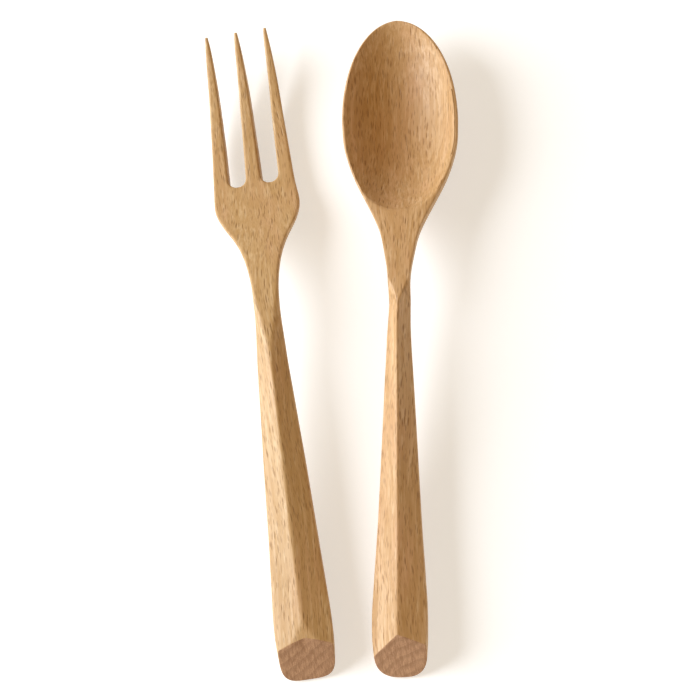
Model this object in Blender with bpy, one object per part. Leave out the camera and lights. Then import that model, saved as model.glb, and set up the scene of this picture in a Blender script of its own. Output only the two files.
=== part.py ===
"""Beech fork and spoon, each carved from one piece of wood.

Both have the same handle: a roof of two flat facets that meet in a ridge, over a
rounded underside, cut off aslant at the butt.  Near the neck the ridge runs out in a
flat that is cut across it, which leaves a V.  The spoon's flat runs on into the rim of
an oval bowl, the fork's into a dished head with three tapered tines.

Lengths in the tables are millimetres.  Each utensil is drawn along its own axis: t runs
from the butt to the tip, x across, z up from the surface that it lies on.
"""

import math

import bmesh
import bpy
import numpy as np
from mathutils import Vector

MM = 0.001

# where each utensil lies: (x, y) of the butt in mm, and its turn about +Z in degrees
SPOON_AT, SPOON_TURN = (18.9374, -100.5099), -0.55
FORK_AT, FORK_TURN = (-6.5126, -99.6099), 6.25

CUT_SLOPE = 0.737        # the slanted butt: how far the cut runs back for each mm of height
CUT_FADE = 26.0          # the slant of the sections dies out over this length

# ---------------------------------------------------------------- spoon, mm
SPOON_LONG = 198.6
SPOON_WIDEST = 166.0     # t of the widest part of the bowl
SPOON_HALF = [(0, 7.55), (6, 7.95), (13, 8.0), (27, 7.4), (41, 6.45), (55, 5.7), (70, 4.95),
              (84, 4.25), (98, 3.5), (109, 3.1), (116, 3.25), (123.5, 4.35), (129.5, 5.45),
              (135.5, 7.65), (141.5, 10.45), (147.5, 13.3), (153.5, 15.4), (159.5, 16.7),
              (166, 17.0)]
SPOON_TOP = [(0, 12.25), (10, 12.35), (40, 13.1), (70, 14.5), (92, 15.9), (107, 16.7),
             (116, 16.6), (126, 15.7), (133, 14.6), (139.5, 13.6), (150, 13.45), (166, 13.45),
             (182, 13.5), (199, 13.6)]
SPOON_LOW = [(0, 0.45), (6, 0.12), (14, 0.0), (28, 0.3), (50, 2.0), (75, 5.2), (96, 8.2),
             (110, 9.6), (121, 9.2), (131, 6.6), (141, 3.0), (151, 0.75), (161, 0.0), (166, 0.0)]
SPOON_DROP_LEFT = [(0, 5.7), (10, 5.6), (50, 4.9), (80, 4.5), (100, 4.3), (108, 4.0),
                   (115.3, 0.12), (199, 0.12)]
SPOON_DROP_RIGHT = [(0, 3.1), (10, 3.15), (50, 3.8), (80, 4.2), (100, 4.3), (108, 4.0),
                    (115.3, 0.12), (199, 0.12)]
SPOON_V = (108.0, 115.3)  # t of the V's point and of its two ends
# carved a little askew: how far the middle line lies to the right of a straight one
SPOON_LEAN = [(0, 0.3), (14, 0), (98, 0), (114, 0.5), (135, 0.45), (150, 0.55), (166, 0.1), (182, -0.4), (199, -1.1)]
# the hollow is part of an ellipsoid whose centre is above the rim, squared a little
# towards the neck
HOLLOW_AT, HOLLOW_HALF_WIDE, HOLLOW_HALF_LONG = 167.9, 16.2, 29.8
HOLLOW_DEEP, HOLLOW_LIFT = 9.6, 0.55
HOLLOW_RIM = 13.45
HOLLOW_SQUARE = (2.3, 2.06)   # towards the neck and towards the tip

# ---------------------------------------------------------------- fork, mm
FORK_LONG = 200.0
FORK_HALF = [(0, 7.9), (6, 8.25), (13, 8.2), (26, 7.7), (38, 7.1), (50, 6.6), (62, 6.1),
             (74, 5.45), (86, 4.85), (98, 4.2), (108, 3.72), (115, 3.85), (121, 4.5),
             (127, 5.7), (133, 7.8), (139, 10.85), (145, 12.55), (152, 12.05), (160, 11.6),
             (174, 10.85), (186, 10.25), (194, 9.75), (200, 9.2)]
FORK_TOP = [(0, 12.15), (10, 12.25), (40, 12.9), (70, 14.0), (96, 15.2), (110, 15.3),
            (122, 13.9), (134, 10.7), (145, 7.4), (155, 5.8), (166, 5.6), (178, 6.8),
            (190, 9.3), (200, 12.0)]
FORK_LOW = [(0, 0.45), (6, 0.12), (14, 0.0), (28, 0.3), (50, 1.8), (75, 4.8), (95, 7.5),
            (110, 8.7), (122, 7.9), (134, 5.0), (145, 1.9), (155, 0.25), (162, 0.0),
            (170, 0.4), (180, 2.2), (190, 5.4), (200, 10.3)]
FORK_DROP = [(0, 2.8), (30, 3.1), (60, 3.5), (85, 3.4), (97, 2.8), (115, 0.12), (200, 0.12)]
FORK_V = (94.0, 115.0)
FORK_LEAN = [(0, 0), (90, 0), (108, 0.45), (120, 0.6), (137, 0.55), (146, -0.05),
             (154, -0.45), (170, -0.45), (187, -0.2), (200, -0.2)]
SLOT_END = 152.5          # t of the round end of both slots
SLOT_STRAIGHT = 155.3     # t where their sides begin
TINE_WIDE = [(151, 4.65), (158, 4.25), (170, 3.6), (180, 2.95), (190, 2.2), (195, 1.7),
             (198, 1.25), (200, 0.8)]
WORN = (4.2, 1.15)        # the fork's ridge is rubbed away at the butt: length and depth


def curve(table):
    """A smooth line through the table's points that never overshoots them."""
    x = np.array([p[0] for p in table], float)
    y = np.array([p[1] for p in table], float)
    h = np.diff(x)
    d = np.diff(y) / h
    m = np.empty(len(x))
    m[0], m[-1] = d[0], d[-1]
    for i in range(1, len(x) - 1):
        if d[i - 1] * d[i] <= 0:
            m[i] = 0.0
        else:
            a, b = 2 * h[i] + h[i - 1], h[i] + 2 * h[i - 1]
            m[i] = (a + b) / (a / d[i - 1] + b / d[i])

    def at(t):
        t = float(np.clip(t, x[0], x[-1]))
        i = int(np.clip(np.searchsorted(x, t, side="right") - 1, 0, len(h) - 1))
        s = (t - x[i]) / h[i]
        return float(
            y[i] * (1 + 2 * s) * (1 - s) ** 2 + m[i] * h[i] * s * (1 - s) ** 2
            + y[i + 1] * s * s * (3 - 2 * s) + m[i + 1] * h[i] * s * s * (s - 1)
        )

    return at


spoon_half, spoon_top, spoon_low = curve(SPOON_HALF), curve(SPOON_TOP), curve(SPOON_LOW)
spoon_left, spoon_right = curve(SPOON_DROP_LEFT), curve(SPOON_DROP_RIGHT)
fork_half, fork_top, fork_low = curve(FORK_HALF), curve(FORK_TOP), curve(FORK_LOW)
fork_drop, tine_wide = curve(FORK_DROP), curve(TINE_WIDE)
spoon_lean, fork_lean = curve(SPOON_LEAN), curve(FORK_LEAN)


def flat_half(t, v, half):
    """Half the width of the flat on top: a hair on the ridge, opening through the V."""
    k = min(1.0, max(0.0, (t - v[0]) / (v[1] - v[0])))
    return 0.2 + (half - 0.35 - 0.2) * k


def spoon_section(t):
    """half width, top, low, drop to the left and right corners, half the flat, squareness."""
    if t <= SPOON_WIDEST:
        half, low = spoon_half(t), spoon_low(t)
    else:
        u = min(1.0, (t - SPOON_WIDEST) / (SPOON_LONG - SPOON_WIDEST))
        half = SPOON_HALF[-1][1] * math.sqrt(max(0.0, 1 - u ** 2.08))
        rim = spoon_top(t)
        low = rim - rim * max(0.0, 1 - u ** 2.3) ** 0.62
    square = float(np.interp(t, (0, 60, 120, 150, 199), (2.7, 2.35, 2.3, 2.1, 2.0)))
    return (half, spoon_top(t), low, spoon_left(t), spoon_right(t),
            flat_half(t, SPOON_V, half), square)


def fork_section(t):
    half = fork_half(t)
    square = float(np.interp(t, (0, 25, 60, 120, 145, 200), (4.2, 3.3, 2.35, 2.4, 3.4, 3.4)))
    return (half, fork_top(t), fork_low(t), fork_drop(t), fork_drop(t),
            flat_half(t, FORK_V, half), square)


def ring(section, under=14, across=4):
    """Points (x, z) around a section: along the top from left to right, back underneath."""
    half, top, low, left, right, flat, square = section
    points = [(-half, top - left), (-(half + flat) / 2, top - left / 2), (-flat, top)]
    points += [(flat * (2 * i / across - 1), top) for i in range(1, across)]
    points += [(flat, top), ((half + flat) / 2, top - right / 2), (half, top - right)]
    for i in range(1, under):
        a = math.pi * i / under
        c, s = math.cos(a), math.sin(a)
        drop = right if c > 0 else left
        x = half * math.copysign(abs(c) ** (2 / square), c)
        z = top - drop - (top - drop - low) * s ** (2 / square)
        points.append((x, z))
    return points


def loft(name, sections, lean=lambda t: 0.0):
    """Skins the sections of one utensil, which are unlike from end to end."""
    bm = bmesh.new()
    rings = []
    for t, section in sections:
        made = []
        for x, z in ring(section):
            back = CUT_SLOPE * z * max(0.0, 1 - t / CUT_FADE)
            made.append(bm.verts.new(((x + lean(t)) * MM, (t + back) * MM, z * MM)))
        rings.append(made)
    for a, b in zip(rings, rings[1:]):
        for i in range(len(a)):
            j = (i + 1) % len(a)
            bm.faces.new((a[i], a[j], b[j], b[i]))
    bm.faces.new(rings[0][::-1])
    bm.faces.new(rings[-1])
    bmesh.ops.recalc_face_normals(bm, faces=bm.faces)
    return finish(name, bm)


def finish(name, bm):
    mesh = bpy.data.meshes.new(name)
    bm.to_mesh(mesh)
    bm.free()
    return bpy.data.objects.new(name, mesh)


def material(name, colour):
    mat = bpy.data.materials.new(name)
    mat.use_nodes = True
    shader = mat.node_tree.nodes["Principled BSDF"]
    shader.inputs["Base Color"].default_value = (*colour, 1)
    shader.inputs["Roughness"].default_value = 0.55
    shader.inputs["Metallic"].default_value = 0.0
    return mat


def cut(body, cutter):
    """Takes the cutter out of the body."""
    mod = body.modifiers.new("Cut", "BOOLEAN")
    mod.operation, mod.solver, mod.object = "DIFFERENCE", "EXACT", cutter


def place(obj, at, turn):
    obj.location = (at[0] * MM, at[1] * MM, 0)
    obj.rotation_euler = (0, 0, math.radians(turn))


for old in list(bpy.data.objects):
    bpy.data.objects.remove(old, do_unlink=True)

parts = bpy.data.collections.new("beech_cutlery_pair")
cutters = bpy.data.collections.new("cutters")
for group in (parts, cutters):
    bpy.context.scene.collection.children.link(group)


def keep_cutter(obj, at, turn):
    cutters.objects.link(obj)
    obj.display_type = "WIRE"
    obj.hide_render = True
    place(obj, at, turn)
    return obj


def smooth(obj):
    """Round faces shade smooth, the carved edges stay crisp."""
    mesh = obj.data
    for face in mesh.polygons:
        face.use_smooth = True
    mesh.set_sharp_from_angle(angle=math.radians(24))


# ---------------------------------------------------------------- the spoon
handle_t = [0, 3, 7, 13, 20, 27, 35, 45, 57, 70, 84, 97, 105]
neck_t = [108, 110.7, 113.5, 117, 121, 125, 129, 133, 137, 141, 145, 149, 153, 157, 161.5]
tip_t = [SPOON_WIDEST + (SPOON_LONG - SPOON_WIDEST) * math.sin(math.radians(a))
         for a in (0, 10, 20, 30, 40, 49, 57, 64, 70, 75, 79.5, 83, 86, 88.3)]
spoon = loft("spoon", [(t, spoon_section(t)) for t in handle_t + neck_t + tip_t], spoon_lean)
parts.objects.link(spoon)
place(spoon, SPOON_AT, SPOON_TURN)
spoon.data.materials.append(material("beech_spoon", (0.60, 0.38, 0.19)))
smooth(spoon)

bm = bmesh.new()
bmesh.ops.create_uvsphere(bm, u_segments=48, v_segments=24, radius=1.0)
over = HOLLOW_DEEP / (1 - HOLLOW_LIFT)             # the ellipsoid's half height
wide = 1 / math.sqrt(1 - HOLLOW_LIFT ** 2)         # how much wider it is than its cut
for v in bm.verts:
    far = math.hypot(v.co.x, v.co.y)
    if far > 1e-6:
        p = HOLLOW_SQUARE[0] if v.co.y < 0 else HOLLOW_SQUARE[1]
        square = (abs(v.co.x / far) ** p + abs(v.co.y / far) ** p) ** (-1 / p)
        v.co.x *= square
        v.co.y *= square
    t = HOLLOW_AT + v.co.y * HOLLOW_HALF_LONG * wide
    v.co = Vector(((v.co.x * HOLLOW_HALF_WIDE * wide + spoon_lean(t)) * MM, t * MM,
                   (HOLLOW_RIM + over * (HOLLOW_LIFT + v.co.z)) * MM))
bmesh.ops.recalc_face_normals(bm, faces=bm.faces)
hollow = keep_cutter(finish("hollow_cutter", bm), SPOON_AT, SPOON_TURN)
cut(spoon, hollow)

# ---------------------------------------------------------------- the fork
fork_t = [0, 3, 7, 13, 20, 27, 36, 48, 60, 73, 86, 94, 99, 104.5, 110, 115, 119, 123, 127, 130,
          133, 136, 139, 142, 145, 149, 154, 160, 166, 172, 178, 184, 189, 193, 197, 200]
fork = loft("fork", [(t, fork_section(t)) for t in fork_t], fork_lean)

# the rubbed end of its ridge: a small flat across the corner
top = fork_top(0)
on_face = Vector((0, CUT_SLOPE * (top - WORN[1]) * MM, (top - WORN[1]) * MM))
on_ridge = Vector((0, (CUT_SLOPE * top + WORN[0]) * MM, top * MM))
along = on_ridge - on_face
worn = bmesh.new()
worn.from_mesh(fork.data)
made = bmesh.ops.bisect_plane(
    worn, geom=worn.verts[:] + worn.edges[:] + worn.faces[:], dist=1e-7, plane_co=on_face,
    plane_no=Vector((0, -along.z, along.y)).normalized(), clear_outer=True)
bmesh.ops.contextual_create(
    worn, geom=[e for e in made["geom_cut"] if isinstance(e, bmesh.types.BMEdge)])
bmesh.ops.recalc_face_normals(worn, faces=worn.faces)
worn.to_mesh(fork.data)
worn.free()

parts.objects.link(fork)
place(fork, FORK_AT, FORK_TURN)
fork.data.materials.append(material("beech_fork", (0.62, 0.40, 0.21)))
smooth(fork)


def tine_edge(t):
    """x of the outer tine's inner edge."""
    return fork_half(t) - tine_wide(t)


for side in (1, -1):
    inner = [(tine_wide(t) / 2, t) for t in (SLOT_STRAIGHT, 158, 164, 172, 180, 187, 193, 197, 200)]
    outer = [(tine_edge(t), t) for t in (200, 197, 193, 187, 180, 172, 164, 158,
                                             SLOT_STRAIGHT)]
    left, right = inner[0][0], outer[-1][0]
    middle, radius = (left + right) / 2, (right - left) / 2
    end = [(middle + radius * math.cos(a),
            SLOT_STRAIGHT - (SLOT_STRAIGHT - SLOT_END) * math.sin(a))
           for a in (math.pi * i / 12 for i in range(1, 12))]
    past = [(inner[-1][0], 204), (outer[0][0], 204)]
    outline = inner + past + outer + end
    bm = bmesh.new()
    low = [bm.verts.new(((side * x + fork_lean(t)) * MM, t * MM, -4 * MM)) for x, t in outline]
    face = bm.faces.new(low)
    risen = bmesh.ops.extrude_face_region(bm, geom=[face])
    bmesh.ops.translate(bm, vec=(0, 0, 24 * MM),
                        verts=[v for v in risen["geom"] if isinstance(v, bmesh.types.BMVert)])
    bmesh.ops.recalc_face_normals(bm, faces=bm.faces)
    name = "slot_cutter_right" if side > 0 else "slot_cutter_left"
    cut(fork, keep_cutter(finish(name, bm), FORK_AT, FORK_TURN))
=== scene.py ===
import math

import bpy
import numpy as np
from mathutils import Matrix, Vector


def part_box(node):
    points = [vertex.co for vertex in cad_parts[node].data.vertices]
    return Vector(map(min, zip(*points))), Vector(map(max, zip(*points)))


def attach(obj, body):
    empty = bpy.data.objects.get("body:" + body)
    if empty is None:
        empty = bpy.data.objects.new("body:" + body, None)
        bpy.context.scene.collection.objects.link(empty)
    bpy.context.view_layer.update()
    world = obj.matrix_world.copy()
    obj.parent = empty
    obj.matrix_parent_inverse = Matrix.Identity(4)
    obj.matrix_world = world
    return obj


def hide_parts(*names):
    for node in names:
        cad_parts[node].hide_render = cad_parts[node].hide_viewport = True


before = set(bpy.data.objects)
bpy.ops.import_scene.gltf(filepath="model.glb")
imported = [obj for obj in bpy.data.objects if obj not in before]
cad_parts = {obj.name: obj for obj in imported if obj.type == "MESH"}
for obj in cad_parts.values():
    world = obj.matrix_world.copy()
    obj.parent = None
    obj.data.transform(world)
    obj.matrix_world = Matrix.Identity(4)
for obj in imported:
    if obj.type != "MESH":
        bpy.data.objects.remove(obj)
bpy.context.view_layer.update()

MM = 0.001

# ------------------------------------------------------------------ the two shapes, mm
SPOON_AT, SPOON_TURN = (18.9374, -100.5099), -0.55
FORK_AT, FORK_TURN = (-6.5126, -99.6099), 6.25
CUT_SLOPE, CUT_FADE = 0.737, 26.0

SPOON_LONG, SPOON_WIDEST = 198.6, 166.0
SPOON_HALF = [(0, 7.55), (6, 7.95), (13, 8.0), (27, 7.4), (41, 6.45), (55, 5.7), (70, 4.95),
              (84, 4.25), (98, 3.5), (109, 3.1), (116, 3.25), (123.5, 4.35), (129.5, 5.45),
              (135.5, 7.65), (141.5, 10.45), (147.5, 13.3), (153.5, 15.4), (159.5, 16.7),
              (166, 17.0)]
SPOON_TOP = [(0, 12.25), (10, 12.35), (40, 13.1), (70, 14.5), (92, 15.9), (107, 16.7),
             (116, 16.6), (126, 15.7), (133, 14.6), (139.5, 13.6), (150, 13.45), (166, 13.45),
             (182, 13.5), (199, 13.6)]
SPOON_LOW = [(0, 0.45), (6, 0.12), (14, 0.0), (28, 0.3), (50, 2.0), (75, 5.2), (96, 8.2),
             (110, 9.6), (121, 9.2), (131, 6.6), (141, 3.0), (151, 0.75), (161, 0.0), (166, 0.0)]
SPOON_DROP_LEFT = [(0, 5.7), (10, 5.6), (50, 4.9), (80, 4.5), (100, 4.3), (108, 4.0),
                   (115.3, 0.12), (199, 0.12)]
SPOON_DROP_RIGHT = [(0, 3.1), (10, 3.15), (50, 3.8), (80, 4.2), (100, 4.3), (108, 4.0),
                    (115.3, 0.12), (199, 0.12)]
SPOON_V = (108.0, 115.3)
SPOON_LEAN = [(0, 0.3), (14, 0), (98, 0), (114, 0.5), (135, 0.45), (150, 0.55), (166, 0.1), (182, -0.4), (199, -1.1)]
HOLLOW_AT, HOLLOW_HALF_WIDE, HOLLOW_HALF_LONG = 167.9, 16.2, 29.8
HOLLOW_DEEP, HOLLOW_LIFT, HOLLOW_RIM = 9.6, 0.55, 13.45
HOLLOW_SQUARE = (2.3, 2.06)

FORK_LONG = 200.0
FORK_HALF = [(0, 7.9), (6, 8.25), (13, 8.2), (26, 7.7), (38, 7.1), (50, 6.6), (62, 6.1),
             (74, 5.45), (86, 4.85), (98, 4.2), (108, 3.72), (115, 3.85), (121, 4.5),
             (127, 5.7), (133, 7.8), (139, 10.85), (145, 12.55), (152, 12.05), (160, 11.6),
             (174, 10.85), (186, 10.25), (194, 9.75), (200, 9.2)]
FORK_TOP = [(0, 12.15), (10, 12.25), (40, 12.9), (70, 14.0), (96, 15.2), (110, 15.3),
            (122, 13.9), (134, 10.7), (145, 7.4), (155, 5.8), (166, 5.6), (178, 6.8),
            (190, 9.3), (200, 12.0)]
FORK_LOW = [(0, 0.45), (6, 0.12), (14, 0.0), (28, 0.3), (50, 1.8), (75, 4.8), (95, 7.5),
            (110, 8.7), (122, 7.9), (134, 5.0), (145, 1.9), (155, 0.25), (162, 0.0),
            (170, 0.4), (180, 2.2), (190, 5.4), (200, 10.3)]
FORK_DROP = [(0, 2.8), (30, 3.1), (60, 3.5), (85, 3.4), (97, 2.8), (115, 0.12), (200, 0.12)]
FORK_V = (94.0, 115.0)
FORK_LEAN = [(0, 0), (90, 0), (108, 0.45), (120, 0.6), (137, 0.55), (146, -0.05),
             (154, -0.45), (170, -0.45), (187, -0.2), (200, -0.2)]
SLOT_END, SLOT_STRAIGHT = 152.5, 155.3
TINE_WIDE = [(151, 4.65), (158, 4.25), (170, 3.6), (180, 2.95), (190, 2.2), (195, 1.7),
             (198, 1.25), (200, 0.8)]
WORN = (4.2, 1.15)


def curve(table, soft=1.6, step=0.2):
    """The part's own smooth line through these points, eased a little where it bends."""
    x = np.array([p[0] for p in table], float)
    y = np.array([p[1] for p in table], float)
    h = np.diff(x)
    d = np.diff(y) / h
    m = np.empty(len(x))
    m[0], m[-1] = d[0], d[-1]
    for i in range(1, len(x) - 1):
        if d[i - 1] * d[i] <= 0:
            m[i] = 0.0
        else:
            a, b = 2 * h[i] + h[i - 1], h[i] + 2 * h[i - 1]
            m[i] = (a + b) / (a / d[i - 1] + b / d[i])
    grid = np.arange(x[0], x[-1] + step / 2, step)
    i = np.clip(np.searchsorted(x, grid, side="right") - 1, 0, len(h) - 1)
    s = (grid - x[i]) / h[i]
    value = (y[i] * (1 + 2 * s) * (1 - s) ** 2 + m[i] * h[i] * s * (1 - s) ** 2
             + y[i + 1] * s * s * (3 - 2 * s) + m[i + 1] * h[i] * s * s * (s - 1))
    if soft:
        n = int(3 * soft / step)
        k = np.exp(-0.5 * (np.arange(-n, n + 1) * step / soft) ** 2)
        k /= k.sum()
        left = 2 * value[0] - value[1:n + 1][::-1]
        right = 2 * value[-1] - value[-n - 1:-1][::-1]
        value = np.convolve(np.concatenate([left, value, right]), k, mode="valid")
    return lambda t: np.interp(t, grid, value)


spoon_half = curve(SPOON_HALF)
spoon_top, spoon_low = curve(SPOON_TOP, 2.5), curve(SPOON_LOW, 2.5)
spoon_left, spoon_right = curve(SPOON_DROP_LEFT, 0.5), curve(SPOON_DROP_RIGHT, 0.5)
fork_half, fork_top, fork_low = curve(FORK_HALF), curve(FORK_TOP, 2.5), curve(FORK_LOW, 2.5)
fork_drop, tine_wide = curve(FORK_DROP, 2.5), curve(TINE_WIDE, 0.8)
spoon_lean, fork_lean = curve(SPOON_LEAN, 2.5), curve(FORK_LEAN, 2.0)


def flat_half(t, v, half):
    k = min(1.0, max(0.0, (t - v[0]) / (v[1] - v[0])))
    return 0.2 + (half - 0.35 - 0.2) * k


def spoon_section(t):
    if t <= SPOON_WIDEST:
        half, low = float(spoon_half(t)), float(spoon_low(t))
    else:
        u = min(1.0, (t - SPOON_WIDEST) / (SPOON_LONG - SPOON_WIDEST))
        half = SPOON_HALF[-1][1] * math.sqrt(max(0.0, 1 - u ** 2.08))
        rim = float(spoon_top(t))
        low = rim - rim * max(0.0, 1 - u ** 2.3) ** 0.62
    square = float(np.interp(t, (0, 60, 120, 150, 199), (2.7, 2.35, 2.3, 2.1, 2.0)))
    return (half, float(spoon_top(t)), low, float(spoon_left(t)), float(spoon_right(t)),
            flat_half(t, SPOON_V, half), square)


def fork_section(t):
    half = float(fork_half(t))
    square = float(np.interp(t, (0, 25, 60, 120, 145, 200), (4.2, 3.3, 2.35, 2.4, 3.4, 3.4)))
    drop = float(fork_drop(t))
    return (half, float(fork_top(t)), float(fork_low(t)), drop, drop,
            flat_half(t, FORK_V, half), square)


def sand(points, sigma, count=640):
    """Goes round a closed section at even steps and rubs its corners down by sigma mm."""
    closed = np.vstack([points, points[:1]])
    run = np.concatenate([[0], np.cumsum(np.hypot(*np.diff(closed, axis=0).T))])
    total = run[-1]
    at = np.arange(count) * total / count
    even = np.stack([np.interp(at, run, closed[:, 0]), np.interp(at, run, closed[:, 1])], 1)
    f = np.fft.rfftfreq(count, total / count)
    keep = np.exp(-2 * (math.pi * f * sigma) ** 2)
    rubbed = np.fft.irfft(np.fft.rfft(even, axis=0) * keep[:, None], count, axis=0)
    return np.vstack([rubbed, rubbed[:1]]), np.concatenate([at, [total]]), run


CORNER = np.array([0, 0.1, 0.22, 0.38, 0.6])       # mm from a corner


def spread(start, length, mids):
    """Places along one side of a section, closer together near its two corners."""
    o = CORNER * min(1.0, length / 3.0)
    inner = np.linspace(o[-1], length - o[-1], mids + 2)[1:-1]
    return start + np.concatenate([o, inner, (length - o[1:])[::-1]])


def ring(section, sigma, over, under):
    """The section as over + 9 points along the top, then under + 9 back along the underside."""
    half, top, low, left, right, flat, square = section
    a = np.linspace(0, math.pi, 181)[1:-1]
    c, s = np.cos(a), np.sin(a)
    drop = np.where(c > 0, right, left)
    belly = np.stack([half * np.sign(c) * np.abs(c) ** (2 / square),
                      top - drop - (top - drop - low) * s ** (2 / square)], 1)
    roof = np.array([(-half, top - left), (-flat, top), (flat, top), (half, top - right)])
    points = np.vstack([roof, belly])
    sigma = min(sigma, half * 0.12)
    rubbed, at, run = sand(points, sigma)
    corner = run[3]
    where = np.concatenate([spread(0, corner, over), spread(corner, run[-1] - corner, under)[1:-1]])
    return np.stack([np.interp(where, at, rubbed[:, 0]), np.interp(where, at, rubbed[:, 1])], 1)


def skin(rows, section, sigma, over, under, sag=0.0):
    """Rings at these t, as an array (row, place, xyz) in the utensil's own mm frame."""
    out = []
    for t in rows:
        xz = ring(section(t), sigma(t), over, under)
        back = CUT_SLOPE * xz[:, 1] * max(0.0, 1 - t / CUT_FADE)
        side = sag * (xz[:, 1] - 9.0) * max(0.0, 1 - t / 40)
        out.append(np.stack([xz[:, 0] + side, t + back, xz[:, 1]], 1))
    return np.array(out)


def butt(first, radius=0.32):
    """Rings that round the edge of the cut face and close it, from the side inwards."""
    centre = first.mean(0)
    reach = np.linalg.norm(first - centre, axis=1).mean()
    out = []
    for a in np.radians([22, 45, 68, 90]):
        inset = radius * (1 - math.cos(a))
        ahead = radius * (1 - math.sin(a)) - radius
        p = centre + (first - centre) * (1 - inset / reach)
        p[:, 1] += ahead
        out.append(p)
    for k in (0.88, 0.72, 0.56, 0.4, 0.25, 0.12):
        out.append(out[3].mean(0) + (out[3] - out[3].mean(0)) * k)
    return out


def smooth_min(a, b, k):
    h = np.maximum(k - np.abs(a - b), 0) / k
    return np.minimum(a, b) - h * h * k / 4


class Mesh:
    """Collects points and faces, then makes one object in the row frame."""

    def __init__(self, lean=None):
        self.points, self.faces, self.slots, self.lean = [], [], [], lean

    def add(self, pts):
        n = len(self.points)
        self.points.extend(map(tuple, np.asarray(pts)))
        return np.arange(n, n + len(pts))

    def band(self, a, b, slot=0, closed=True):
        n = len(a)
        for i in range(n if closed else n - 1):
            j = (i + 1) % n
            self.faces.append((a[i], a[j], b[j], b[i]))
            self.slots.append(slot)

    def fan(self, a, tip, slot=0):
        n = len(a)
        for i in range(n):
            self.faces.append((a[i], a[(i + 1) % n], tip))
            self.slots.append(slot)

    def build(self, name, at, turn, box):
        p = np.array(self.points)
        if self.lean:
            p[:, 0] += self.lean(p[:, 1])
        a = math.radians(turn)
        world = np.empty_like(p)
        world[:, 0] = at[0] + p[:, 0] * math.cos(a) - p[:, 1] * math.sin(a)
        world[:, 1] = at[1] + p[:, 0] * math.sin(a) + p[:, 1] * math.cos(a)
        world[:, 2] = p[:, 2]
        world = np.clip(world * MM, np.array(box[0]), np.array(box[1]))
        mesh = bpy.data.meshes.new(name)
        mesh.from_pydata(world.tolist(), [], self.faces)
        mesh.update()
        mesh.polygons.foreach_set("material_index", self.slots)
        mesh.polygons.foreach_set("use_smooth", [True] * len(self.faces))
        obj = bpy.data.objects.new(name, mesh)
        bpy.context.scene.collection.objects.link(obj)
        return obj


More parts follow.
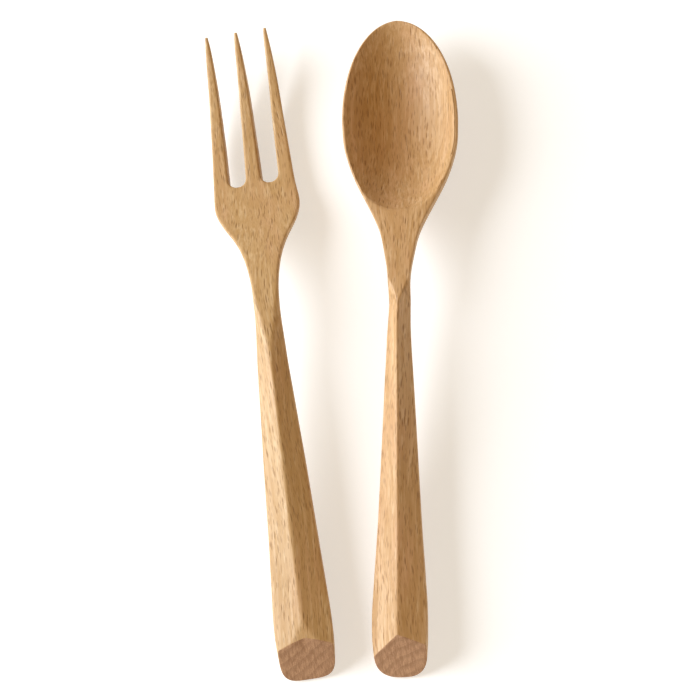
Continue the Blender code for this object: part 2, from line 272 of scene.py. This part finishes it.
def make_spoon():
    rows = [0.32, 0.45, 0.7, 1.1, 1.7]
    rows += list(np.arange(2.5, 104, 0.9)) + list(np.arange(104, 118, 0.35))
    rows += list(np.arange(118, 132.6, 0.6))
    start = len(rows)                                   # the annulus round the bowl starts here
    rows += list(np.arange(133.0, 166, 0.55))
    rows += list(166 + 32.6 * np.sin(np.radians(np.arange(0.8, 88.8, 1.0))))
    stop = int(np.searchsorted(rows, 198.35))
    rows += [198.59]
    over, under = 62, 52
    sigma = lambda t: float(np.interp(t, (0, 60, 104, 114, 130, 199),
                                      (0.26, 0.22, 0.17, 0.2, 0.3, 0.3)))
    r = skin(rows, spoon_section, sigma, over, under)
    m = Mesh(spoon_lean)
    ids = [m.add(p) for p in r]
    wide = over + 9                                     # points along the top
    n = r.shape[1]
    m0, m1 = 4, wide - 5                                # the lip's outer line on each side
    keep = list(range(m1, n)) + list(range(0, m0 + 1))  # what stays of the rings round the bowl
    for i in range(len(rows) - 1):
        if i < start or i >= stop:
            m.band(ids[i], ids[i + 1])
        else:
            m.band(ids[i][keep], ids[i + 1][keep], closed=False)
    # the butt
    caps = butt(r[0])
    last = ids[0]
    for k, p in enumerate(caps):
        new = m.add(p)
        m.band(new, last, slot=1 if k >= 2 else 0)
        last = new
    tip = m.add([caps[-1].mean(0)])[0]
    m.fan(last[::-1], tip, slot=1)
    tip = m.add([r[-1].mean(0) + (0, 0.01, 0)])[0]
    m.fan(ids[-1], tip)
    # the lip and the hollow
    loop = [ids[i][m0] for i in range(start, stop)]
    loop += [ids[stop][j] for j in range(m0, m1 + 1)]
    loop += [ids[i][m1] for i in range(stop - 1, start, -1)]
    loop += [ids[start][j] for j in range(m1, m0, -1)]
    loop = np.array(loop)
    outer = np.array([m.points[i] for i in loop])
    over_h = HOLLOW_DEEP / (1 - HOLLOW_LIFT)
    k2 = 1 - HOLLOW_LIFT ** 2

    def power(t):
        return np.where(t < HOLLOW_AT, *HOLLOW_SQUARE)

    def surface(x, t):
        n = power(t)
        rho2 = (np.abs(x / HOLLOW_HALF_WIDE) ** n
                + np.abs((t - HOLLOW_AT) / HOLLOW_HALF_LONG) ** n) ** (2 / n)
        dip = HOLLOW_RIM + over_h * HOLLOW_LIFT - over_h * np.sqrt(np.maximum(1 - k2 * rho2, 0.0))
        dip = np.where(rho2 * k2 >= 0.97, HOLLOW_RIM + 5, dip)
        return smooth_min(spoon_top(t), dip, 0.42)

    theta = np.arctan2((outer[:, 1] - HOLLOW_AT) / HOLLOW_HALF_LONG,
                       outer[:, 0] / HOLLOW_HALF_WIDE)
    n = power(outer[:, 1])
    reach = (np.abs(np.cos(theta)) ** n + np.abs(np.sin(theta)) ** n) ** (-1 / n)
    edge = np.stack([HOLLOW_HALF_WIDE * np.cos(theta) * reach,
                     HOLLOW_AT + HOLLOW_HALF_LONG * np.sin(theta) * reach], 1)
    last = loop
    wide_lip = np.hypot(*(outer[:, :2] - edge).T)
    for q in (0.3, 0.55, 0.75, 0.9, 1.0):
        p = outer[:, :2] + (edge - outer[:, :2]) * q
        z = surface(p[:, 0], p[:, 1])
        # the outer edge's rounding dies out across the lip
        far = q * wide_lip
        z += (outer[:, 2] - surface(outer[:, 0], outer[:, 1])) * np.exp(-(far / 0.25) ** 2)
        new = m.add(np.column_stack([p, z]))
        m.band(new, last)
        last = new
    for rho in [0.993, 0.985, 0.975, 0.963, 0.95, 0.935, 0.915, 0.893] + list(
            np.linspace(0.87, 0.04, 34)):
        p = np.stack([edge[:, 0] * rho, HOLLOW_AT + (edge[:, 1] - HOLLOW_AT) * rho], 1)
        new = m.add(np.column_stack([p, surface(p[:, 0], p[:, 1])]))
        m.band(new, last)
        last = new
    tip = m.add([(0, HOLLOW_AT, float(surface(np.array([0.0]), np.array([HOLLOW_AT]))[0]))])[0]
    m.fan(last[::-1], tip)
    return m.build("spoon_fine", SPOON_AT, SPOON_TURN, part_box("spoon"))


def tine_edge(t):
    return fork_half(t) - tine_wide(t)


def slot_gap(x, t):
    """How far a point of the fork's head is from the nearer slot, in mm."""
    x = np.abs(x)
    mid = (tine_wide(SLOT_STRAIGHT) / 2 + tine_edge(SLOT_STRAIGHT)) / 2
    radius = tine_edge(SLOT_STRAIGHT) - mid
    deep = SLOT_STRAIGHT - SLOT_END
    below = (np.sqrt(((x - mid) / radius) ** 2 + ((t - SLOT_STRAIGHT) / deep) ** 2) - 1) * (
        0.5 * (radius + deep))
    beside = np.maximum(tine_wide(t) / 2 - x, x - tine_edge(t))
    return np.maximum(np.where(t < SLOT_STRAIGHT, below, beside), 0.0)


def make_fork():
    rows = [0.32, 0.45, 0.7, 1.1, 1.7]
    rows += list(np.arange(2.5, 90, 1.0)) + list(np.arange(90, 146, 0.6))
    rows += list(np.arange(146, 157, 0.28)) + list(np.arange(157, 199.3, 0.75))
    rows += [199.4, 199.6, 199.78, 199.9, 199.97]
    over, under = 86, 66
    sigma = lambda t: float(np.interp(t, (0, 60, 110, 145, 200), (0.42, 0.45, 0.5, 0.5, 0.35)))
    r = skin(rows, fork_section, sigma, over, under, 0.09)
    wide = over + 9
    x, t, z = r[..., 0], r[..., 1], r[..., 2]
    # the rubbed end of the ridge
    top = float(fork_top(0))
    on_face = (CUT_SLOPE * (top - WORN[1]), top - WORN[1])
    slope = WORN[1] / (WORN[0] + CUT_SLOPE * WORN[1])
    near = t < 40
    plane = on_face[1] + (t - on_face[0]) * slope
    z[...] = np.where(near, smooth_min(z, plane, 0.25), z)
    # the tines' edges are rubbed round
    thick = np.maximum(fork_top(t) - fork_low(t), 0.5)
    radius = np.minimum(0.6, 0.34 * thick)
    gap = np.minimum(slot_gap(x, t), radius)
    drop = radius - np.sqrt(np.maximum(radius ** 2 - (radius - gap) ** 2, 0))
    drop = np.where(t > SLOT_END - 1.5, drop, 0)
    z[:, :wide] -= drop[:, :wide]
    z[:, wide:] += drop[:, wide:]
    # and their ends
    for i, k in ((-5, 0.88), (-4, 0.74), (-3, 0.56), (-2, 0.38), (-1, 0.2)):
        mid = float(fork_top(rows[i]) + fork_low(rows[i])) / 2
        z[i] = mid + (z[i] - mid) * k
    m = Mesh(fork_lean)
    ids = [m.add(p) for p in r]
    for a, b in zip(ids, ids[1:]):
        m.band(a, b)
    caps = butt(r[0])
    last = ids[0]
    for k, p in enumerate(caps):
        new = m.add(p)
        m.band(new, last, slot=1 if k >= 2 else 0)
        last = new
    tip = m.add([caps[-1].mean(0)])[0]
    m.fan(last[::-1], tip, slot=1)
    m.faces.append(tuple(ids[-1]))
    m.slots.append(0)
    fork = m.build("fork_fine", FORK_AT, FORK_TURN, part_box("fork"))
    for side in (1, -1):
        ts = np.concatenate([np.arange(SLOT_STRAIGHT, 199.5, 1.5), [200.0]])
        inner = [(float(tine_wide(t)) / 2, t) for t in ts]
        outer = [(float(tine_edge(t)), t) for t in ts[::-1]]
        mid, rad = (inner[0][0] + outer[-1][0]) / 2, (outer[-1][0] - inner[0][0]) / 2
        end = [(mid + rad * math.cos(a), SLOT_STRAIGHT - (SLOT_STRAIGHT - SLOT_END) * math.sin(a))
               for a in (math.pi * i / 28 for i in range(1, 28))]
        outline = inner + [(inner[-1][0], 204), (outer[0][0], 204)] + outer + end
        c = Mesh(fork_lean)
        low = c.add([(side * x, t, -4) for x, t in outline])
        high = c.add([(side * x, t, 20) for x, t in outline])
        c.band(low, high)
        c.faces += [tuple(low[::-1]), tuple(high)]
        c.slots += [0, 0]
        cutter = c.build("slot", FORK_AT, FORK_TURN, ((-1, -1, -1), (1, 1, 1)))
        face_out(cutter)
        mod = fork.modifiers.new("slot", "BOOLEAN")
        mod.operation, mod.solver, mod.object = "DIFFERENCE", "EXACT", cutter
        cutters.append(cutter)
    return fork


def face_out(obj):
    import bmesh
    bm = bmesh.new()
    bm.from_mesh(obj.data)
    bmesh.ops.recalc_face_normals(bm, faces=bm.faces)
    bm.to_mesh(obj.data)
    bm.free()


cutters = []
spoon = make_spoon()
fork = make_fork()
for obj in (spoon, fork):
    face_out(obj)
# the cuts are applied, and nothing of the cutters stays
dg = bpy.context.evaluated_depsgraph_get()
made = bpy.data.meshes.new_from_object(fork.evaluated_get(dg))
fork.modifiers.clear()
fork.data = made
for cutter in cutters:
    bpy.data.objects.remove(cutter, do_unlink=True)
made.polygons.foreach_set("use_smooth", [True] * len(made.polygons))
made.set_sharp_from_angle(angle=math.radians(40))

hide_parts("spoon")
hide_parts("fork")
for obj, slot in ((spoon, "spoon"), (fork, "fork")):
    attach(obj, "root")


# ------------------------------------------------------------------ beech
class Nodes:
    """Short names for building one material's tree."""

    def __init__(self, name):
        self.mat = bpy.data.materials.new(name)
        self.mat.use_nodes = True
        self.tree = self.mat.node_tree
        self.tree.nodes.clear()

    def new(self, kind, **props):
        node = self.tree.nodes.new("ShaderNode" + kind)
        for k, v in props.items():
            setattr(node, k, v)
        return node

    def put(self, socket, value):
        if isinstance(value, bpy.types.NodeSocket):
            self.tree.links.new(value, socket)
        else:
            socket.default_value = value

    def math(self, op, a, b=0.0, c=None, clamp=False):
        n = self.new("Math", operation=op, use_clamp=clamp)
        self.put(n.inputs[0], a)
        self.put(n.inputs[1], b)
        if c is not None:
            self.put(n.inputs[2], c)
        return n.outputs[0]

    def vec(self, op, a, b=None, scale=None):
        n = self.new("VectorMath", operation=op)
        self.put(n.inputs[0], a)
        if b is not None:
            self.put(n.inputs[1], b)
        if scale is not None:
            self.put(n.inputs["Scale"], scale)
        return n.outputs[0]

    def span(self, value, lo, hi, a=0.0, b=1.0, soft=True):
        n = self.new("MapRange", interpolation_type="SMOOTHSTEP" if soft else "LINEAR")
        for i, v in enumerate((value, lo, hi, a, b)):
            self.put(n.inputs[i], v)
        return n.outputs[0]

    def noise(self, vector, scale, detail=2.0, rough=0.5):
        n = self.new("TexNoise")
        self.put(n.inputs["Vector"], vector)
        n.inputs["Scale"].default_value = scale
        n.inputs["Detail"].default_value = detail
        n.inputs["Roughness"].default_value = rough
        return n

    def mix(self, fac, a, b, kind="MIX"):
        n = self.new("Mix", data_type="RGBA", blend_type=kind)
        self.put(n.inputs["Factor"], fac)
        self.put(n.inputs[6], a)
        self.put(n.inputs[7], b)
        return n.outputs[2]


def grain_xyz(n, vector):
    sep = n.new("SeparateXYZ")
    n.put(sep.inputs[0], vector)
    return sep


def beech(name, at, turn, shift, end=False, tone=(1, 1, 1)):
    """Beech in the round: rings about a pith outside the piece, fibres along y, ray flecks
    as short dark dashes along the grain.  end is for the cut across the grain."""
    n = Nodes(name)
    where = n.new("TexCoord").outputs["Object"]
    m = n.new("Mapping", vector_type="TEXTURE")
    n.put(m.inputs["Vector"], where)
    m.inputs["Location"].default_value = (at[0] * MM, at[1] * MM, 0)
    m.inputs["Rotation"].default_value = (0, 0, math.radians(turn))
    mm = n.vec("SCALE", m.outputs[0], scale=1000.0)
    mm = n.vec("ADD", mm, shift)
    # slow waves in the grain
    slow = n.noise(n.vec("MULTIPLY", mm, (0.05, 0.016, 0.010)), 1.0, 2.0, 0.5)
    sway = n.vec("SUBTRACT", slow.outputs["Color"], (0.5, 0.5, 0.5))
    grain = n.vec("ADD", mm, n.vec("MULTIPLY", sway, (9.0, 0.0, 9.0)))
    # growth rings
    sep = n.new("SeparateXYZ")
    n.put(sep.inputs[0], grain)
    gx = n.math("ADD", sep.outputs[0], n.math("MULTIPLY", sep.outputs[1], 0.035))
    gz = n.math("ADD", sep.outputs[2], n.math("MULTIPLY", sep.outputs[1], 0.055))
    dx, dz = n.math("SUBTRACT", gx, 30.0), n.math("SUBTRACT", gz, -46.0)
    radius = n.math("SQRT", n.math("ADD", n.math("MULTIPLY", dx, dx), n.math("MULTIPLY", dz, dz)))
    year = n.math("FRACT", n.math("MULTIPLY", radius, 0.42))
    late = n.math("MULTIPLY", n.span(year, 0.3, 0.88), n.span(year, 1.0, 0.93))
    # fibres
    fibre = n.noise(n.vec("MULTIPLY", grain, (1.5, 0.05, 0.9)), 1.0, 3.0, 0.65).outputs[0]
    fine = n.noise(n.vec("MULTIPLY", grain, (6.0, 0.22, 3.0)), 1.0, 2.0, 0.5).outputs[0]
    band = n.noise(n.vec("MULTIPLY", grain, (0.50, 0.016, 0.35)), 1.0, 2.0, 0.5).outputs[0]
    cloud = n.noise(n.vec("MULTIPLY", mm, (0.11, 0.028, 0.11)), 1.0, 3.0, 0.55).outputs[0]

    # the rays: ribbons seen on edge, so they are short dashes along the grain on every face
    facing = n.new("SeparateXYZ")
    n.put(facing.inputs[0], n.new("NewGeometry").outputs["Normal"])
    upright = n.math("LESS_THAN", n.math("ABSOLUTE", facing.outputs[2]), 0.42)
    swap = n.new("CombineXYZ")
    for i, j in ((0, 2), (1, 1), (2, 0)):
        n.put(swap.inputs[i], grain_xyz(n, grain).outputs[j])
    turned = n.new("Mix", data_type="VECTOR")
    n.put(turned.inputs["Factor"], upright)
    n.put(turned.inputs[4], grain)
    n.put(turned.inputs[5], swap.outputs[0])
    across = turned.outputs[1]

    def dashes(wide, long, size, rare, seed):
        p = n.vec("ADD", n.vec("MULTIPLY", across, (1 / wide, 1 / long, 0.14 / wide)), seed)
        v = n.new("TexVoronoi", feature="F1", distance="EUCLIDEAN")
        n.put(v.inputs["Vector"], p)
        v.inputs["Scale"].default_value = 1.0
        v.inputs["Randomness"].default_value = 1.0
        pick = n.new("SeparateColor")
        n.put(pick.inputs[0], v.outputs["Color"])
        shape = n.span(v.outputs["Distance"], size, size * 0.4)
        return n.math("MULTIPLY", shape, n.span(pick.outputs[0], rare, min(1.0, rare + 0.45)))

    ray = dashes(0.76, 6.0, 0.31, 0.10, (3.1, 7.7, 1.3))
    ray2 = dashes(0.52, 4.0, 0.34, 0.10, (13.1, 2.7, 8.3))
    ray3 = dashes(0.44, 3.0, 0.38, 0.0, (7.9, 21.4, 3.3))
    pale = dashes(0.85, 6.5, 0.42, 0.35, (23.7, 12.2, 5.9))

    light = tuple(a * b for a, b in zip((0.665, 0.435, 0.225), tone)) + (1,)
    deep = tuple(a * b for a, b in zip((0.500, 0.285, 0.108), tone)) + (1,)
    pink = tuple(a * b for a, b in zip((0.600, 0.335, 0.165), tone)) + (1,)
    dark = tuple(a * b for a, b in zip((0.240, 0.108, 0.024), tone)) + (1,)
    cream = tuple(a * b for a, b in zip((0.730, 0.520, 0.300), tone)) + (1,)
    colour = n.mix(n.span(fibre, 0.34, 0.66), deep, light)
    colour = n.mix(n.math("MULTIPLY", n.span(cloud, 0.4, 0.7), 0.6), colour, pink)
    colour = n.mix(n.math("MULTIPLY", late, 0.42), colour, deep)
    colour = n.mix(n.math("MULTIPLY", n.span(band, 0.62, 0.36), 0.5), colour, deep)
    colour = n.mix(n.math("MULTIPLY", pale, 0.4), colour, cream)
    colour = n.mix(n.math("MULTIPLY", ray, 0.58), colour, dark)
    colour = n.mix(n.math("MULTIPLY", ray2, 0.54), colour, dark)
    colour = n.mix(n.math("MULTIPLY", ray3, 0.42), colour, dark)
    colour = n.mix(n.math("MULTIPLY", n.span(fine, 0.4, 0.75), 0.16), colour, dark)
    height = n.math("SUBTRACT", n.math("MULTIPLY", fibre, 0.5),
                    n.math("ADD", n.math("MULTIPLY", ray, 0.6), n.math("MULTIPLY", ray2, 0.4)))
    height = n.math("ADD", height, n.math("MULTIPLY", fine, 0.35))
    rough = n.span(fibre, 0.3, 0.7, 0.56, 0.44)
    if end:
        spokes = n.noise(n.vec("MULTIPLY", grain, (2.4, 0.3, 0.45)), 1.0, 3.0, 0.6).outputs[0]
        pores = n.noise(n.vec("MULTIPLY", mm, (3.2, 3.2, 3.2)), 1.0, 1.0, 0.5).outputs[0]
        colour = n.mix(n.span(spokes, 0.36, 0.64), (0.37, 0.205, 0.108, 1),
                       (0.51, 0.305, 0.172, 1))
        colour = n.mix(n.math("MULTIPLY", late, 0.40), colour, (0.28, 0.145, 0.070, 1))
        colour = n.mix(n.math("MULTIPLY", n.span(pores, 0.5, 0.72), 0.4), colour,
                       (0.24, 0.12, 0.06, 1))
        rough = n.span(spokes, 0.3, 0.7, 0.8, 0.68)
        height = n.math("SUBTRACT", spokes, n.math("MULTIPLY", pores, 0.6))
    bump = n.new("Bump")
    bump.inputs["Strength"].default_value = 0.5
    bump.inputs["Distance"].default_value = 0.0002
    n.put(bump.inputs["Height"], height)
    shader = n.new("BsdfPrincipled")
    n.put(shader.inputs["Base Color"], colour)
    n.put(shader.inputs["Roughness"], rough)
    n.put(shader.inputs["Normal"], bump.outputs[0])
    shader.inputs["Metallic"].default_value = 0.0
    shader.inputs["IOR"].default_value = 1.45
    shader.inputs["Specular IOR Level"].default_value = 0.55
    out = n.new("OutputMaterial")
    n.put(out.inputs["Surface"], shader.outputs[0])
    return n.mat


for obj, at, turn, shift, tone in ((spoon, SPOON_AT, SPOON_TURN, (5.0, 11.0, 2.0), (0.98, 1.02, 1.07)),
                                   (fork, FORK_AT, FORK_TURN, (-21.0, 240.0, 7.0), (0.95, 1.035, 1.08))):
    cut_faces = [0] * len(obj.data.polygons)
    obj.data.polygons.foreach_get("material_index", cut_faces)
    obj.data.materials.clear()
    obj.data.materials.append(beech("beech_" + obj.name, at, turn, shift, False, tone))
    obj.data.materials.append(beech("end_grain_" + obj.name, at, turn, shift, True, tone))
    obj.data.polygons.foreach_set("material_index", cut_faces)

# ------------------------------------------------------------------ floor, light, camera
bpy.ops.mesh.primitive_plane_add(size=6, location=(0, 0, -0.0002))
floor = bpy.context.object
floor.name = "floor"
mat = bpy.data.materials.new("pale_floor")
mat.use_nodes = True
p = mat.node_tree.nodes["Principled BSDF"]
p.inputs["Base Color"].default_value = (0.70, 0.70, 0.70, 1)
p.inputs["Roughness"].default_value = 0.9
p.inputs["Specular IOR Level"].default_value = 0.1
p.inputs["Emission Color"].default_value = (0.92, 0.98, 1.0, 1)
p.inputs["Emission Strength"].default_value = 0.50
floor.data.materials.append(mat)


# a low pale wall all round closes the floor off behind the object
turns = [math.tau * i / 96 for i in range(96)]
wall = bpy.data.meshes.new("wall")
wall.from_pydata([(2.9 * math.cos(a), 2.9 * math.sin(a), z) for z in (-0.01, 1.0) for a in turns], [],
                 [(i, (i + 1) % 96, 96 + (i + 1) % 96, 96 + i) for i in range(96)])
wall = bpy.data.objects.new("wall", wall)
bpy.context.scene.collection.objects.link(wall)
mat = mat.copy()
mat.name = "pale_wall"
mat.node_tree.nodes["Principled BSDF"].inputs["Emission Strength"].default_value = 0.45
wall.data.materials.append(mat)


def lamp(name, place, target, size, watts, colour=(1, 1, 1)):
    data = bpy.data.lights.new(name, "AREA")
    data.shape, data.size, data.energy, data.color = "DISK", size, watts, colour
    obj = bpy.data.objects.new(name, data)
    obj.location = place
    obj.rotation_euler = (Vector(target) - Vector(place)).to_track_quat("-Z", "Y").to_euler()
    bpy.context.scene.collection.objects.link(obj)


lamp("key", (-1.22, 0.05, 0.71), (0, 0, 0), 1.2, 30.5, (0.93, 0.985, 1.06))
world = bpy.data.worlds.new("studio")
world.use_nodes = True
world.node_tree.nodes["Background"].inputs[0].default_value = (1, 0.62, 0.24, 1)
world.node_tree.nodes["Background"].inputs[1].default_value = 0.42
bpy.context.scene.world = world
bpy.context.scene.view_settings.view_transform = "Standard"

# the camera is high, a little to the right and towards the handles
tilt, side = math.radians(67.0), math.radians(9.0)
back = Vector((math.sin(side) * math.sin(tilt), -math.cos(tilt), math.cos(side) * math.sin(tilt)))
right = Vector((math.cos(side), 0, -math.sin(side)))
up = back.cross(right).normalized()
right = up.cross(back)
data = bpy.data.cameras.new("camera")
data.sensor_width = 36
data.lens = 4550 / 694 * 36
data.clip_start, data.clip_end = 0.1, 20
camera = bpy.data.objects.new("camera", data)
place = Vector((0.19154, -0.51033, 1.19009))
camera.matrix_world = Matrix(((right.x, up.x, back.x, place.x), (right.y, up.y, back.y, place.y),
                              (right.z, up.z, back.z, place.z), (0, 0, 0, 1)))
bpy.context.scene.collection.objects.link(camera)
bpy.context.scene.camera = camera
